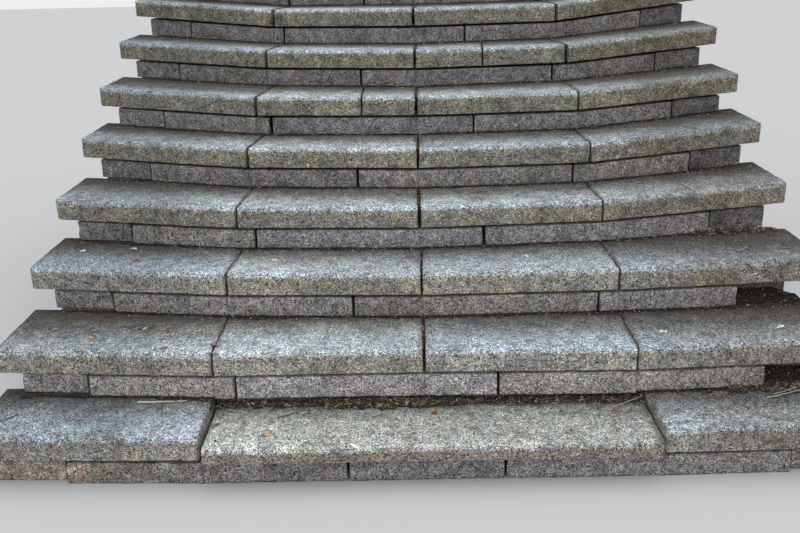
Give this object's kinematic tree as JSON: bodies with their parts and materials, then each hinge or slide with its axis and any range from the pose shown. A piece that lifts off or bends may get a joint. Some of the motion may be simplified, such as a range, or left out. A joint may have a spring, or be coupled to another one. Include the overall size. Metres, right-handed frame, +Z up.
{
  "type": "outdoor stone steps",
  "caption": "Wide flight of worn outdoor steps: round-nosed stone tread slabs over low block risers on a concrete bed, its courses fanning and sagging uphill.",
  "frame": {"origin": "on the ground, at the middle of the flight's plan", "axes": "+Y uphill, from the bottom step to the top one; +X along the treads, to the right of somebody going up; +Z up"},
  "size_m": [3.3, 3.6964, 1.757],
  "materials": {
    "tread_stone": "matte",
    "thin_slab_stone": "matte",
    "riser_stone": "matte",
    "bed_concrete": "matte"
  },
  "bodies": {
    "root": {"tread_1_left": "tread_stone", "tread_1_middle": "thin_slab_stone", "tread_1_right": "tread_stone", "tread_2_left_end": "tread_stone", "tread_2_left": "tread_stone", "tread_2_right": "tread_stone", "tread_2_right_end": "tread_stone", "tread_3_left_end": "tread_stone", "tread_3_left": "tread_stone", "tread_3_right": "tread_stone", "tread_3_right_end": "tread_stone", "tread_4_left_end": "tread_stone", "tread_4_left": "tread_stone", "tread_4_right": "tread_stone", "tread_4_right_end": "tread_stone", "tread_5_left_end": "tread_stone", "tread_5_left": "tread_stone", "tread_5_right": "tread_stone", "tread_5_right_end": "tread_stone", "tread_6_left_end": "tread_stone", "tread_6_left": "tread_stone", "tread_6_right": "tread_stone", "tread_6_right_end": "tread_stone", "tread_7_left_end": "tread_stone", "tread_7_left": "tread_stone", "tread_7_right": "tread_stone", "tread_7_right_end": "tread_stone", "tread_8_left_end": "tread_stone", "tread_8_left": "tread_stone", "tread_8_right": "tread_stone", "tread_8_right_end": "tread_stone", "tread_9_left_end": "tread_stone", "tread_9_left": "tread_stone", "tread_9_right": "tread_stone", "tread_9_right_end": "tread_stone", "riser_1": "riser_stone", "riser_2": "riser_stone", "riser_3": "riser_stone", "riser_4": "riser_stone", "riser_5": "riser_stone", "riser_6": "riser_stone", "riser_7": "riser_stone", "riser_8": "riser_stone", "riser_9": "riser_stone", "concrete_bed": "bed_concrete"}
  },
  "joints": []
}
